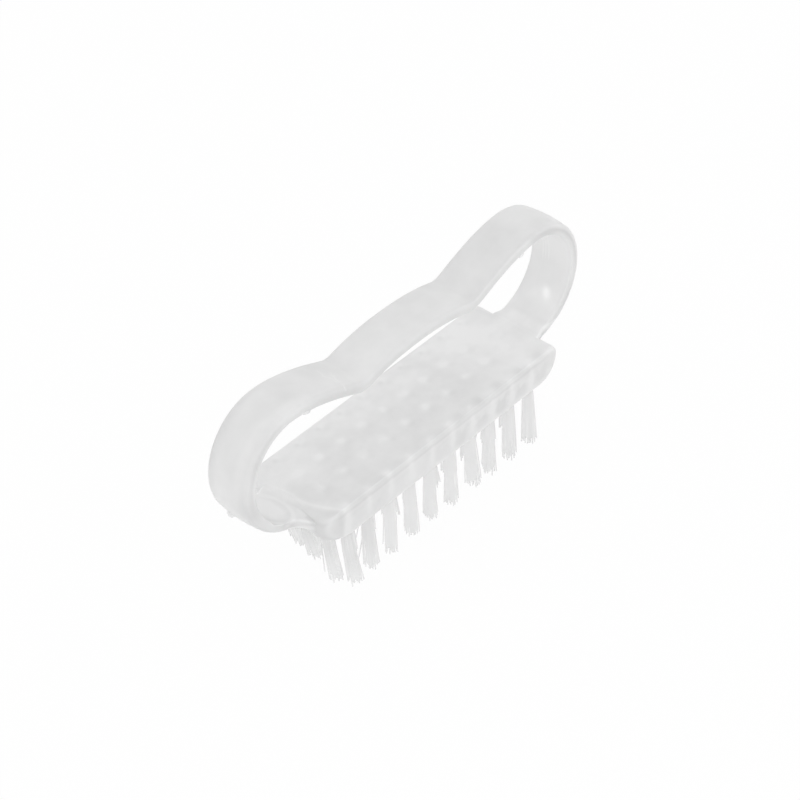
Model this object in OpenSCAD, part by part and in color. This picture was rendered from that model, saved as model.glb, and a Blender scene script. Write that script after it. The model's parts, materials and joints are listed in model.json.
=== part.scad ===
// Nail brush: one moulded body, with a wave-shaped finger handle over a block that holds rows of tufts.
// X runs along the block, Y across it, and the bristle tips stand on Z = 0 under the middle.

/* [Overall] */
// Length over the two finger loops
overall_length = 70; // [64:1:84]
// Height from the bristle tips to the top of the loops
overall_height = 35; // [32:1:44]

/* [Block] */
// Length of the block
block_length = 50; // [47:0.2:54]
// Width of the block
block_width = 16; // [15:0.5:20]
// Thickness of the block
block_thickness = 5.2; // [4.2:0.1:7]
// Corner radius of the block's top, seen from above
corner_round = 1.8; // [1.2:0.1:3]
// Corner radius of the block's bottom
bottom_corner_round = 2.8; // [1.6:0.2:3.4]
// How far the block's ends round in at the top
end_edge_round = 1.4; // [0.4:0.1:2]
// Height over which the block's top edge is rounded
edge_height = 1.2; // [0.4:0.1:2]
// How far the block's sides round in at the top
top_edge_round = 0.5; // [0.3:0.1:1]
// How far the block's ends draw in towards the bottom
end_draw_in = 3; // [0.4:0.1:3.2]
// How far the block's sides draw in towards the bottom
side_draw_in = 0.2; // [0.1:0.1:0.6]

/* [Handle] */
// Width of the strip
strip_width = 7.9; // [6:0.1:10]
// Thickness of the strip at its middle
strip_thickness = 2; // [1.8:0.05:2.6]
// Rise of the strip's crowned outer face over its edges
strip_crown = 0.35; // [0.1:0.05:0.6]
// Rounding of the strip's outer edges
outer_edge_round = 0.55; // [0.2:0.05:0.7]
// Rounding of the strip's inner edges
inner_edge_round = 0.4; // [0.2:0.05:0.6]
// Distance of each valley from the middle
valley_reach = 11.3; // [9:0.1:14]
// Depth of the valleys below the top of the loops
valley_drop = 4; // [2:0.25:6]
// Depth of the middle hump's crown below the top of the loops
hump_drop = 2.4; // [1:0.05:3]
// Distance along the brush from a loop's outermost point to its highest one
loop_top_inset = 9.8; // [8:0.2:12]
// Depth of a loop's outermost point below its highest one
loop_side_drop = 10.4; // [8:0.2:12]
// How far the strip widens to each side where it joins the block
join_flare = 0.5; // [0:0.1:1.5]

/* [Bristles] */
// Number of tufts in a row
columns = 10; // [8:1:10]
// Number of rows
rows = 4; // [3:1:4]
// Distance from the outer rows to the block's sides
row_margin = 1.45; // [1.3:0.05:2.5]
// Distance from the last tufts to the block's ends
column_margin = 5.4; // [5:0.1:6.5]
// Length of the bristles below the block
bristle_length = 10.7; // [8:0.1:14]
// Diameter of a blind tuft hole
hole_d = 1.6; // [1.5:0.1:2]
// Material left over a tuft hole
hole_floor = 1; // [0.8:0.1:1.6]
// Gap between a tuft's root and the wall of its hole
root_clearance = 0.02; // [0.01:0.005:0.05]
// Distance from a strand's corner to its far side
strand_width = 0.3; // [0.2:0.02:0.3]
// Spread of a tuft's tips over its root
tip_spread = 1.5; // [1:0.05:1.8]
// Depth of the flat trim across the longest tips
tip_trim = 0.5; // [0.2:0.1:1]
// How far the shortest strands fall short of the longest ones
tip_shortfall = 1.2; // [0.6:0.1:2]

/* [Anchors] */
// Thickness of the wire that holds a tuft's fold
anchor_thickness = 0.3; // [0.2:0.05:0.4]
// Height of the wire
anchor_height = 1.1; // [0.8:0.1:1.4]
// Gap round the wire
anchor_clearance = 0.02; // [0.01:0.005:0.04]
// Height of the bristles' fold over the wire
fold_height = 0.8; // [0.5:0.1:1]

/* [Hidden] */
half_length = overall_length / 2;
half_block = block_length / 2;
wall_height = block_thickness - edge_height;
block_top = bristle_length + block_thickness;
hole_top = block_top - hole_floor;
hole_r = hole_d / 2;
root_r = hole_r - root_clearance;
root_top = hole_top - root_clearance;
anchor_top = root_top - fold_height;
column_pitch = (block_length - 2 * column_margin) / (columns - 1);
row_pitch = (block_width - 2 * row_margin) / (rows - 1);

// Places on the crown line of the strip's outer face, as [x, z]
hump_top = [0, overall_height - hump_drop];
valley = [valley_reach, overall_height - valley_drop];
loop_top = [half_length - loop_top_inset, overall_height];
loop_side = [half_length, overall_height - loop_side_drop];
join_sink = 0.1;
join_inset = 0.4;
join_depth = 2.5;
join = [half_block - join_inset, block_top - join_sink - strip_thickness];
root_end = join - [join_depth, 0];
flare_length = 2;

// Handles of the cubic curves, as shares of their spans, and the slopes beside a valley
quarter = 0.55;
hump_share = 0.44;
valley_share = 0.27;
rise_share = 0.33;
hump_slope = 0.3;
rise_slope = 0.45;
valley_blend = 0.9;

// Strands of a tuft stand in rings of [count, radius as a share of the root's, turn of each strand]
strand_rings = [[3, 0.3, 180], [7, 0.7, 0]];
strands = [for (ring = strand_rings, k = [0:ring[0] - 1]) let (angle = 360 * k / ring[0])
    [ring[1] * cos(angle), ring[1] * sin(angle), angle + ring[2]]];
fuse_depth = 0.3;
root_sides = 12;
random_lean = 0.25;
left_lean = 2.4;
left_lean_turn = -65;

function tuft_name(row, column) = str("tuft_", row, "_", column < 10 ? "0" : "", column);
function anchors_name(row) = str("anchors_row_", row);

// Rows count from the front, columns from the left
function tuft_x(column) = (column - (columns + 1) / 2) * column_pitch;
function tuft_y(row) = (row - (rows + 1) / 2) * row_pitch;

function unit(v) = v / norm(v);
function total(list, k = 0) = k < len(list) ? list[k] + total(list, k + 1) : 0;
function middle(ring) = [for (axis = [0:2]) total([for (p = ring) p[axis]]) / len(ring)];
function cubic(p, t) =
    pow(1 - t, 3) * p[0] + 3 * t * pow(1 - t, 2) * p[1] + 3 * t * t * (1 - t) * p[2] + pow(t, 3) * p[3];
function quadratic(p, t) = pow(1 - t, 2) * p[0] + 2 * t * (1 - t) * p[1] + t * t * p[2];
function cubic_run(p, from, to, steps) = [for (k = [0:steps]) cubic(p, from + (to - from) * k / steps)];

// Closed surface through rings of equal length that run anticlockwise as seen from the last one's side
module skin(rings) {
    n = len(rings[0]);
    last = len(rings) - 1;
    end_middles = (last + 1) * n;
    sides = [for (k = [0:last - 1], j = [0:n - 1]) let (a = k * n + j, b = k * n + (j + 1) % n)
        each [[a, b + n, b], [a, a + n, b + n]]];
    first_fan = [for (j = [0:n - 1]) [end_middles, j, (j + 1) % n]];
    last_fan = [for (j = [0:n - 1]) [end_middles + 1, last * n + (j + 1) % n, last * n + j]];
    polyhedron(
        points = concat([for (ring = rings) each ring], [middle(rings[0]), middle(rings[last])]),
        faces = concat(sides, first_fan, last_fan));
}

// The block: its plan outline drawn in at the bottom and rounded at the top
corner_steps = 6;
wall_steps = 5;
edge_steps = 3;
function block_ring(z, end_inset, side_inset, r) = [for (quadrant = [0:3], k = [0:corner_steps])
    let (angle = 90 * (quadrant + k / corner_steps),
        sx = quadrant == 0 || quadrant == 3 ? 1 : -1,
        sy = quadrant < 2 ? 1 : -1)
    [sx * (half_block - end_inset - r) + r * cos(angle),
     sy * (block_width / 2 - side_inset - r) + r * sin(angle),
     z]];
function wall_ring(a) = let (left = 1 - sin(a))
    block_ring(bristle_length + wall_height * (1 - cos(a)), end_draw_in * left, side_draw_in * left,
        corner_round + (bottom_corner_round - corner_round) * left);
function edge_ring(a) = let (in = 1 - cos(a))
    block_ring(block_top - edge_height * (1 - sin(a)), end_edge_round * in, top_edge_round * in, corner_round);
module block() {
    skin(concat(
        [for (k = [0:wall_steps]) wall_ring(90 * k / wall_steps)],
        [for (k = [0:edge_steps]) edge_ring(90 * k / edge_steps)]));
}

// Right half of the strip's crown line, from the hump's top to the root inside the block
hump_curve = [hump_top, hump_top + [hump_share * valley_reach, 0],
    valley + valley_share * valley_reach * [-1, hump_slope], valley];
rise_curve = [valley, valley + rise_share * (loop_top[0] - valley_reach) * [1, rise_slope],
    loop_top - [rise_share * (loop_top[0] - valley_reach), 0], loop_top];
shoulder_curve = [loop_top, loop_top + [quarter * loop_top_inset, 0],
    loop_side + [0, quarter * loop_side_drop], loop_side];
under_curve = [loop_side, loop_side - [0, quarter * (loop_side[1] - join[1])],
    join + [quarter * (half_length - join[0]), 0], join];
hump_end = 1 - valley_blend / (3 * norm(hump_curve[3] - hump_curve[2]));
rise_start = valley_blend / (3 * norm(rise_curve[1] - rise_curve[0]));
valley_bend = [cubic(hump_curve, hump_end), valley, cubic(rise_curve, rise_start)];
half_line = concat(
    cubic_run(hump_curve, 0, hump_end, 5),
    [for (k = [1:3]) quadratic(valley_bend, k / 4)],
    cubic_run(rise_curve, rise_start, 1, 6),
    [for (k = [1:8]) cubic(shoulder_curve, k / 8)],
    [for (k = [1:8]) cubic(under_curve, k / 8)],
    [root_end]);
crown_line = concat(
    [for (k = [len(half_line) - 1:-1:1]) [-half_line[k][0], half_line[k][1]]],
    half_line);

// Right half of the strip's section, as [across, depth below the crown line]
function crown_depth(across, half_width) = strip_crown * pow(across / half_width, 2);
function half_section(half_width) =
    let (flat = half_width - outer_edge_round, start = crown_depth(flat, half_width))
    concat(
        [for (k = [1:2]) [flat * k / 3, crown_depth(flat * k / 3, half_width)]],
        [for (a = [0:45:90]) [flat + outer_edge_round * sin(a), start + outer_edge_round * (1 - cos(a))]],
        [for (a = [0:45:90]) [half_width - inner_edge_round * (1 - cos(a)),
            strip_thickness - inner_edge_round * (1 - sin(a))]]);
function section(half_width) = let (half = half_section(half_width))
    concat([[0, 0]], half, [[0, strip_thickness]],
        [for (k = [len(half) - 1:-1:0]) [-half[k][0], half[k][1]]]);
function strip_half_width(p) = strip_width / 2
    + (p[1] < loop_side[1] ? join_flare * pow(max(0, 1 - max(0, abs(p[0]) - half_block) / flare_length), 2) : 0);
function strip_ring(k) =
    let (last = len(crown_line) - 1,
        along = unit(crown_line[min(k + 1, last)] - crown_line[max(k - 1, 0)]),
        p = crown_line[k])
    [for (q = section(strip_half_width(p))) [p[0] + along[1] * q[1], -q[0], p[1] - along[0] * q[1]]];
module strip() {
    skin([for (k = [0:len(crown_line) - 1]) strip_ring(k)]);
}

module tuft_hole(row, column) {
    translate([tuft_x(column), tuft_y(row), bristle_length - hole_floor])
        cylinder(h = hole_top - bristle_length + hole_floor, r = hole_r, $fn = 32);
}

module body() {
    color([0.86, 0.87, 0.88, 0.8])
        difference() {
            union() {
                block();
                strip();
            }
            for (row = [1:rows], column = [1:columns])
                tuft_hole(row, column);
        }
}

// The wire across a tuft's hole, or the slot that takes it where gap is above 0
module anchor(row, column, gap = 0) {
    reach = gap > 0 ? hole_r : sqrt(pow(hole_r - anchor_clearance, 2) - pow(anchor_thickness / 2, 2));
    translate([tuft_x(column), tuft_y(row), anchor_top - anchor_height / 2])
        cube([2 * reach, anchor_thickness + 2 * gap, anchor_height + 2 * gap], center = true);
}

function tuft_lean(row, column) =
    let (swing = rands(-random_lean, random_lean, 2, 10 * row + column),
        share = column == 1 ? (row - 1) / max(1, rows - 1) : 0)
    swing + share * left_lean * [cos(left_lean_turn), sin(left_lean_turn)];

// One bristle strand, from the root at the block's mouth to its tip, turned about its own line
module strand(root, tip, turn, end_z) {
    corner_r = strand_width * 2 / 3;
    function at(z) = root + (tip - root) * (bristle_length - z) / (bristle_length + tip_trim);
    skin([for (z = [end_z, bristle_length + fuse_depth])
        [for (k = [0:2]) let (p = at(z), angle = turn + 120 * k)
            [p[0] + corner_r * cos(angle), p[1] + corner_r * sin(angle), z]]]);
}

module tuft(row, column) {
    lean = tuft_lean(row, column);
    shortfalls = rands(0, 1, len(strands), 100 * row + column);
    color([0.84, 0.84, 0.84])
        translate([tuft_x(column), tuft_y(row), 0]) {
            difference() {
                translate([0, 0, bristle_length])
                    rotate(180 / root_sides)
                        cylinder(h = root_top - bristle_length, r = root_r, $fn = root_sides);
                translate([-tuft_x(column), -tuft_y(row), 0])
                    anchor(row, column, anchor_clearance);
            }
            for (k = [0:len(strands) - 1]) {
                place = root_r * [strands[k][0], strands[k][1]];
                shortfall = tip_shortfall * pow(shortfalls[k], 2);
                strand(place, tip_spread * place + lean, strands[k][2], max(0, shortfall - tip_trim));
            }
        }
}

module anchors(row) {
    color("silver")
        for (column = [1:columns])
            anchor(row, column);
}

body();
for (row = [1:rows], column = [1:columns])
    tuft(row, column);
for (row = [1:rows])
    anchors(row);
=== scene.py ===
"""Nail brush: a frosted one-piece body with two finger loops, folded bristle tufts and their anchor wires.

The file is laid out as an add-on and run as a script. X runs along the brush, Y across it, and the
bristle tips stand on Z = 0. Sizes are in metres; mm turns a millimetre into one.
"""

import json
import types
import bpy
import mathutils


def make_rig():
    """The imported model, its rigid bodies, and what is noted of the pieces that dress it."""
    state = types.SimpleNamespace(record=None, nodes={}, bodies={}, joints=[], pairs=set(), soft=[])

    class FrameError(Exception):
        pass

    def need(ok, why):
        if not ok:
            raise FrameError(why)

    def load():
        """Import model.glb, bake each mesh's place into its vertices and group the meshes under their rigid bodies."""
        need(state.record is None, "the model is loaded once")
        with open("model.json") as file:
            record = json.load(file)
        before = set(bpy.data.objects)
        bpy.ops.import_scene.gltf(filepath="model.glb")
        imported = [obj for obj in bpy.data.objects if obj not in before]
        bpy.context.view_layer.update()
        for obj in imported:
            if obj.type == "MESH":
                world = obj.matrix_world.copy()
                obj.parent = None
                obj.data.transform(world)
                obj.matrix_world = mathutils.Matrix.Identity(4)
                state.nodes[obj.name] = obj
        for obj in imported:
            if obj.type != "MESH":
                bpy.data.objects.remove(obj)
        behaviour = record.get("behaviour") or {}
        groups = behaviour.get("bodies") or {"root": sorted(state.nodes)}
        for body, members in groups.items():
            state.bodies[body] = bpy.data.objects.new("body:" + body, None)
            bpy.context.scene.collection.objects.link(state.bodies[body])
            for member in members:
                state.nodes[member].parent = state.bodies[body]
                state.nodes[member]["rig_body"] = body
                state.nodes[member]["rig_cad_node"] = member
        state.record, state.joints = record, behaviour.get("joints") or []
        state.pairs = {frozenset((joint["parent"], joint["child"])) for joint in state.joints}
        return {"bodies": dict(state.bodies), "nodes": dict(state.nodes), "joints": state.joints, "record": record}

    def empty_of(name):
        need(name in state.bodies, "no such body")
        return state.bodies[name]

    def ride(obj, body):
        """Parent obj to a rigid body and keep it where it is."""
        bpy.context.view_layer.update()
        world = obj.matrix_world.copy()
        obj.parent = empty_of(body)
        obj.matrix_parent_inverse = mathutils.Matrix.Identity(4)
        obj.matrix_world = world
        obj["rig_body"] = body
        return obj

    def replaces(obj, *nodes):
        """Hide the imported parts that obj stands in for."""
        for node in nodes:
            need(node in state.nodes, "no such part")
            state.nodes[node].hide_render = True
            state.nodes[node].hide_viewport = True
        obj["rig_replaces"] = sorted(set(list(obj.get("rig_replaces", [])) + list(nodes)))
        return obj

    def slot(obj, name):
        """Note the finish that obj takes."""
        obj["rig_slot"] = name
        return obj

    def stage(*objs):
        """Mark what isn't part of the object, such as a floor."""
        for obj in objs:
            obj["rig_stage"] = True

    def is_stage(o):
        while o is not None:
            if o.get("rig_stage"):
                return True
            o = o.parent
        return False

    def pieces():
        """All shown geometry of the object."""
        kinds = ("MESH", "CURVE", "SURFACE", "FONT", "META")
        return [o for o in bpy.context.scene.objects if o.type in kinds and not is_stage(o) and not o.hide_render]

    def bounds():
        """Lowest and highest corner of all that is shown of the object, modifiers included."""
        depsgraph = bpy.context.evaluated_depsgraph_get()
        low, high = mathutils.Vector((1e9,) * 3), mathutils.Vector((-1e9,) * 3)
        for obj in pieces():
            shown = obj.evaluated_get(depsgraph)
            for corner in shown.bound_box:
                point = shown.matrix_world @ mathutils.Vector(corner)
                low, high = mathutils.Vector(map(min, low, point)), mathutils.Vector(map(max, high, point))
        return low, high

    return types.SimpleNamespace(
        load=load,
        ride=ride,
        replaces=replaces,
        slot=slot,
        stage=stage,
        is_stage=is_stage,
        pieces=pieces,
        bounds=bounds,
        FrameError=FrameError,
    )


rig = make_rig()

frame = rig.load()

import json
import math

import bpy
import numpy as np
from bpy.props import FloatProperty, FloatVectorProperty, IntProperty, PointerProperty
from bpy.types import Operator, Panel, PropertyGroup
from mathutils import Matrix

bl_info = {
    "name": "Nail brush",
    "version": (1, 0, 0),
    "blender": (4, 5, 0),
    "location": "3D View > Sidebar > Nail brush",
    "description": "Makes a frosted nail brush with a two-loop finger handle",
    "category": "Add Mesh",
}

SIZE_FILE = "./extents.json"
mm = 0.001
START_BOX = [list(corner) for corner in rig.bounds()]
CROWN_TOP = START_BOX[1][2]
COLUMNS, ROWS = 10, 4

# Wave-shaped handle: places on the crown line of its outer face, as (x, z)
HUMP_TOP = np.array([0, 32.6]) * mm
VALLEY = np.array([11.3, 31]) * mm
LOOP_TOP = np.array([25.2, 35]) * mm
LOOP_SIDE = np.array([35, 24.6]) * mm
JOIN = np.array([24.6, 13.8]) * mm

# How deep the strip runs into the block, and how much of the crown line at the valley is rounded
ROOT_DEPTH = 2.5 * mm
VALLEY_BLEND = 0.9 * mm

# How far the inner corners of each cubic stand from its ends, as shares of its reach, and its slopes at the
# valley
QUARTER = 0.55
HUMP_SHARE, VALLEY_SHARE, RISE_SHARE = 0.44, 0.27, 0.33
HUMP_SLOPE, RISE_SLOPE = 0.3, 0.45

# Section of the strip: how far the outer face falls to its edges, and the roundings of the outer and the
# inner edges
CROWN_FALL, OUTER_ROUND, INNER_ROUND = 0.35 * mm, 0.85 * mm, 0.4 * mm

# How much wider each side of the strip gets where it meets the block, and over what length
FLARE, FLARE_REACH = 0.5 * mm, 2 * mm

# Web between the strip's front side and the block at the left foot: its width, its reach along the strip and
# how far it sinks for its width
WEB_WIDTH, WEB_REACH = 1.9 * mm, 3 * mm
WEB_SINK = 0.2

# Block: how far its top is under the handle's, its corner radius in plan and what the bottom adds to it, the
# height of its rounded top edge, how far its ends and its sides draw in at the bottom and at the top, and the
# rim of its flat top
BLOCK_DROP = 19.1 * mm
CORNER, BOTTOM_CORNER = 1.8 * mm, 1 * mm
TOP_EDGE = 1.2 * mm
BOTTOM_INSET = (3 * mm, 0.2 * mm)
TOP_INSET = (1.4 * mm, 0.5 * mm)
TOP_RIM = 0.2 * mm

# What the middles of the outermost tufts leave free of the block's length and of its width, in all
TUFT_MARGINS = (10.8 * mm, 2.9 * mm)

# How far the cutters of the holes reach out under the block
OVERCUT = 1 * mm

# Filaments: how far the wire's top is under the hole's, how far the fold's ends are under the wire's top, and
# how much higher the outermost fold is than one at the hole's middle
WIRE_DROP, FOLD_DROP, FOLD_STACK = 0.82 * mm, 0.2 * mm, 0.5 * mm

# How far they keep from the hole's wall and how far a tube's corners stand out, both in diameters; how much
# the sunflower pattern is squeezed away from the wire and how far it starts from it, in radii of the hole
WALL_GAP, TUBE_CORNER = 0.62, 0.6
SQUEEZE, WIRE_GAP = 0.84, 0.14
GOLDEN_ANGLE = 2.39996

# How much filaments differ at random: the place of each arm in its hole, the place of its tip, the bow of its
# middle and what it is short of the full length; some arms are loose and stray further
ARM_JITTER, RETURN_JITTER = 0.02 * mm, 0.06 * mm
STRAY, BOW, SHORTEST = 0.14 * mm, 0.035 * mm, 1.4 * mm
LOOSE_SHARE, LOOSE_EXTRA = 0.05, 2.5
PATH_SEED, SHADE_SEED = 40, 70

# How far the tufts lean at their tips at random; how far those of the left end do, as (x, y), from the front
# row to the rear one; and the tuft of the front row that leans to the right
LEAN = 0.25 * mm
WORN_LEANS = np.array([(0.9, -0.35), (-0.5, -2.4), (1.1, -1.0), (1.75, -2.2)]) * mm
LEANING_TUFT, LEANING_BY = 6, np.array([0.6, 0.1]) * mm

# Shallow bowl in the left loop's floor, where the strip runs into the block: its middle (-x, z), how far it
# reaches along and across the strip, its depth, how far it leans outwards and half the height of its cutter
BOWL_PLACE = np.array([27.6, 16.2]) * mm
BOWL_REACH = np.array([2.5, 3.75]) * mm
BOWL_DEPTH = 0.32 * mm
BOWL_LEAN = 0.27
BOWL_HALF_HEIGHT = 2 * mm

# Small nubs left by the mould: middle, half sizes and lean about Y
NUBS = [
    ((-22.6 * mm, -3.85 * mm, 32.95 * mm), (0.8 * mm, 0.28 * mm, 0.3 * mm), 0.3),
    ((21.6 * mm, -3.85 * mm, 32.7 * mm), (0.55 * mm, 0.26 * mm, 0.24 * mm), -0.35),
    ((31.15 * mm, 1.9 * mm, 32.35 * mm), (0.75 * mm, 0.7 * mm, 0.3 * mm), 0.75),
    ((31.9 * mm, -0.4 * mm, 31.75 * mm), (0.75 * mm, 0.7 * mm, 0.3 * mm), 0.85),
    ((-33.3 * mm, 1.2 * mm, 19.2 * mm), (0.35 * mm, 0.8 * mm, 0.8 * mm), 0.5),
    ((23.75 * mm, -7.25 * mm, 11.9 * mm), (0.4 * mm, 0.4 * mm, 0.5 * mm), 0.0)]


# Sizes and colours that a user would change

class NAILBRUSH_PG_body(PropertyGroup):
    block_length: FloatProperty(
        name="Block length", description="Length of the block that holds the tufts",
        default=50 * mm, unit="LENGTH", subtype="DISTANCE")
    block_width: FloatProperty(
        name="Block width", description="Width of the block",
        default=16 * mm, unit="LENGTH", subtype="DISTANCE")
    block_thickness: FloatProperty(
        name="Block thickness", description="Thickness of the block",
        default=5.2 * mm, unit="LENGTH", subtype="DISTANCE")
    strip_width: FloatProperty(
        name="Strip width", description="Width of the handle's strip",
        default=7.9 * mm, unit="LENGTH", subtype="DISTANCE")
    strip_thickness: FloatProperty(
        name="Strip thickness", description="Thickness of the handle's strip",
        default=2 * mm, unit="LENGTH", subtype="DISTANCE")
    hole_diameter: FloatProperty(
        name="Hole diameter", description="Diameter of a blind tuft hole",
        default=1.6 * mm, unit="LENGTH", subtype="DISTANCE")
    hole_floor: FloatProperty(
        name="Hole floor", description="Plastic left over a tuft hole",
        default=1 * mm, unit="LENGTH", subtype="DISTANCE")
    # The body's paleness mixes these two: painted light goes towards the pale colour and painted shade towards the
    # deep one, with the plastic's clouds and spots
    pale_color: FloatVectorProperty(
        name="Plastic, pale", description="Colour of the frosted plastic where it is thin or lit from within",
        default=(0.835, 0.835, 0.835), min=0, max=1, subtype="COLOR")
    deep_color: FloatVectorProperty(
        name="Plastic, deep", description="Colour of the frosted plastic where it is thick and in shade",
        default=(0.68, 0.68, 0.68), min=0, max=1, subtype="COLOR")
    glow_depth: FloatProperty(
        name="Milkiness", description="How far light wanders inside the milky plastic",
        default=0.4 * mm, min=0.1 * mm, unit="LENGTH", subtype="DISTANCE")
    roughness: FloatProperty(
        name="Frosting", description="Roughness of the moulded surface",
        default=0.42, min=0, max=1, subtype="FACTOR")


class NAILBRUSH_PG_bristles(PropertyGroup):
    length: FloatProperty(
        name="Bristle length", description="Length of the bristles below the block",
        default=10.7 * mm, unit="LENGTH", subtype="DISTANCE")
    diameter: FloatProperty(
        name="Filament diameter", description="Diameter of one filament",
        default=0.2 * mm, unit="LENGTH", subtype="DISTANCE", precision=5)
    per_tuft: IntProperty(
        name="Filaments in a tuft", description="Filaments folded into one hole",
        default=28, min=4, max=40)
    spread: FloatProperty(
        name="Spread", description="Width of a tuft's tips over its width at the hole",
        default=1.5, min=1, max=2)
    color: FloatVectorProperty(
        name="Filament", description="Colour of the filaments",
        default=(0.72, 0.72, 0.72), min=0, max=1, subtype="COLOR")


class NAILBRUSH_PG_stage(PropertyGroup):
    floor_color: FloatVectorProperty(
        name="Floor", description="Colour of the floor and the background",
        default=(1, 1, 1), min=0, max=1, subtype="COLOR")
    floor_glow: FloatProperty(
        name="Plain share", description="Share of the floor that shows no shadow",
        default=0.95, min=0, max=1, subtype="FACTOR")
    room_strength: FloatProperty(
        name="Room light", description="Strength of the even light from all round", default=0.93, min=0)


# Meshes

def add_piece(name, points, faces, material):
    """Makes a mesh object from points of shape (count, 3) and a list of face corner lists."""
    mesh = bpy.data.meshes.new(name)
    mesh.from_pydata(points.tolist(), [], faces)
    mesh.materials.append(material)
    piece = bpy.data.objects.new(name, mesh)
    bpy.context.scene.collection.objects.link(piece)
    return piece


def tube_faces(rings, around, first):
    """Faces of a closed tube whose points lie ring after ring from the first one on: squares between
    neighbouring rings, each ring joined to itself, and one flat face at each end."""
    ring, corner = np.meshgrid(np.arange(rings - 1), np.arange(around), indexing="ij")
    a = first + ring * around + corner
    b = first + ring * around + (corner + 1) % around
    squares = np.stack([a, b, b + around, a + around], axis=-1).reshape(-1, 4)
    ends = first + np.arange(around)
    return squares.tolist() + [ends[::-1].tolist(), (ends + (rings - 1) * around).tolist()]


def add_tubes(name, tubes, material):
    """Makes one mesh of closed tubes that don't touch, from points of shape (tubes, rings, around, 3)."""
    count, rings, around = tubes.shape[:3]
    faces = [face for k in range(count) for face in tube_faces(rings, around, k * rings * around)]
    return add_piece(name, tubes.reshape(-1, 3), faces, material)


def cubic(corners, t):
    """Cubic curve through the first and last of four corners: the weights are (1-t)^3, 3t(1-t)^2, 3t^2(1-t)
    and t^3."""
    t = np.asarray(t)[:, None]
    a, b, c, d = corners
    return (1 - t) ** 3 * a + 3 * t * (1 - t) ** 2 * b + 3 * t ** 2 * (1 - t) * c + t ** 3 * d


def quadratic(corners, t):
    """Quadratic curve through the first and last of three corners: the weights are (1-t)^2, 2t(1-t), t^2."""
    t = np.asarray(t)[:, None]
    a, b, c = corners
    return (1 - t) ** 2 * a + 2 * t * (1 - t) * b + t ** 2 * c


def crown_line():
    """Line of the strip's outer face, as (x, z): hump, rise to the loop's top, shoulder and underside are
    cubics that share their tangents, a short quadratic rounds the valley between the first two, a straight
    run goes into the block, and the left half mirrors the right."""
    reach, rise = VALLEY[0], LOOP_TOP[0] - VALLEY[0]
    hump = [HUMP_TOP, HUMP_TOP + [HUMP_SHARE * reach, 0],
            VALLEY + VALLEY_SHARE * reach * np.array([-1, HUMP_SLOPE]), VALLEY]
    climb = [VALLEY, VALLEY + RISE_SHARE * rise * np.array([1, RISE_SLOPE]),
             LOOP_TOP - [RISE_SHARE * rise, 0], LOOP_TOP]
    shoulder = [LOOP_TOP, LOOP_TOP + [QUARTER * (LOOP_SIDE[0] - LOOP_TOP[0]), 0],
                LOOP_SIDE + [0, QUARTER * (LOOP_TOP[1] - LOOP_SIDE[1])], LOOP_SIDE]
    under = [LOOP_SIDE, LOOP_SIDE - [0, QUARTER * (LOOP_SIDE[1] - JOIN[1])],
             JOIN + [QUARTER * (LOOP_SIDE[0] - JOIN[0]), 0], JOIN]
    hump_end = 1 - VALLEY_BLEND / (3 * np.linalg.norm(hump[3] - hump[2]))
    climb_start = VALLEY_BLEND / (3 * np.linalg.norm(climb[1] - climb[0]))
    bend = [cubic(hump, [hump_end])[0], VALLEY, cubic(climb, [climb_start])[0]]
    half = np.concatenate([
        cubic(hump, np.linspace(0, hump_end, 26)),
        quadratic(bend, np.linspace(0, 1, 9)[1:-1]),
        cubic(climb, np.linspace(climb_start, 1, 32)),
        cubic(shoulder, np.linspace(0, 1, 37)[1:]),
        cubic(under, np.linspace(0, 1, 41)[1:]),
        [JOIN - [ROOT_DEPTH / 2, 0], JOIN - [ROOT_DEPTH, 0]]])
    return np.concatenate([(half * [-1, 1])[:0:-1], half])


def strip_section(half_width, thickness):
    """Section of the strip for each half width w, as (across, depth): the outer face falls from the middle by
    fall * (across / w)^2, a quarter circle rounds each outer edge and a smaller one each inner edge, and the
    inner face is flat."""
    outer, inner = OUTER_ROUND, INNER_ROUND
    w = half_width[:, None]
    share = np.linspace(0, 1, 9)[None, :-1]
    arc = np.linspace(0, np.pi / 2, 7)[None, :]
    flat = w - outer
    top = np.stack([flat * share, CROWN_FALL * (flat * share / w) ** 2], axis=-1)
    shoulder = np.stack([flat + outer * np.sin(arc),
                         CROWN_FALL * (flat / w) ** 2 + outer * (1 - np.cos(arc))], axis=-1)
    corner = np.stack([w - inner * (1 - np.cos(arc)),
                       thickness - inner * (1 - np.sin(arc)) + 0 * w], axis=-1)
    under = np.stack([(w - inner) * (1 - share[:, 1:]), thickness + 0 * w * share[:, 1:]], axis=-1)
    half = np.concatenate([top, shoulder, corner, under], axis=1)
    middle = np.stack([0 * w, thickness + 0 * w], axis=-1)
    return np.concatenate([half, middle, (half * [-1, 1])[:, :0:-1]], axis=1)


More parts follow.
